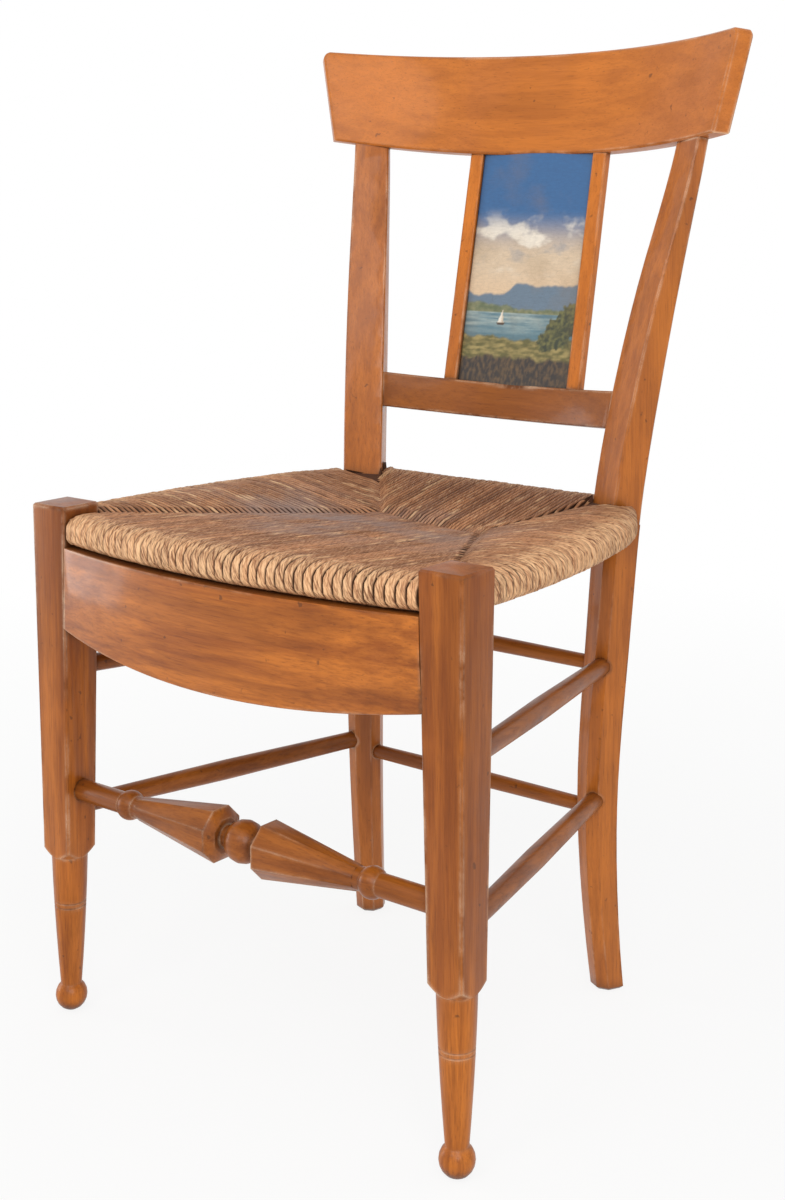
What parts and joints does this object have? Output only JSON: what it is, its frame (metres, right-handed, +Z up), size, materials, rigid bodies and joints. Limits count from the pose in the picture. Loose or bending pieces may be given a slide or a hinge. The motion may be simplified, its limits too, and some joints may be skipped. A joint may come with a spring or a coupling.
{
  "type": "side chair",
  "caption": "Fruitwood side chair with sabre back posts, a bent crest rail over a painted panel, a rush seat, a bowed apron and a turned, faceted front stretcher",
  "frame": {"origin": "on the floor, at the middle of the chair's outline seen from above", "axes": "+X to the right as seen from in front, +Y to the back of the chair, +Z up; the chair faces -Y"},
  "size_m": [0.4972, 0.5056, 0.8709],
  "materials": {
    "fruitwood_legs": "satin",
    "fruitwood_posts": "satin",
    "fruitwood_crest": "satin",
    "fruitwood_rails": "satin",
    "fruitwood_stiles": "satin",
    "fruitwood_apron": "satin",
    "fruitwood_stretchers": "satin",
    "plain_wood": "matte",
    "panel_paint": "satin",
    "rush": "matte"
  },
  "bodies": {
    "root": {"front_leg_left": "fruitwood_legs", "front_leg_right": "fruitwood_legs", "back_post_left": "fruitwood_posts", "back_post_right": "fruitwood_posts", "crest_rail": "fruitwood_crest", "lower_back_rail": "fruitwood_rails", "panel_stile_left": "fruitwood_stiles", "panel_stile_right": "fruitwood_stiles", "painted_panel": "panel_paint", "front_apron": "fruitwood_apron", "front_seat_rail": "plain_wood", "back_seat_rail": "plain_wood", "side_seat_rail_left": "plain_wood", "side_seat_rail_right": "plain_wood", "rush_seat": "rush", "front_stretcher": "fruitwood_stretchers", "side_stretcher_upper_left": "fruitwood_stretchers", "side_stretcher_upper_right": "fruitwood_stretchers", "side_stretcher_lower_left": "fruitwood_stretchers", "side_stretcher_lower_right": "fruitwood_stretchers", "back_stretcher_upper": "fruitwood_stretchers", "back_stretcher_lower": "fruitwood_stretchers"}
  },
  "joints": []
}
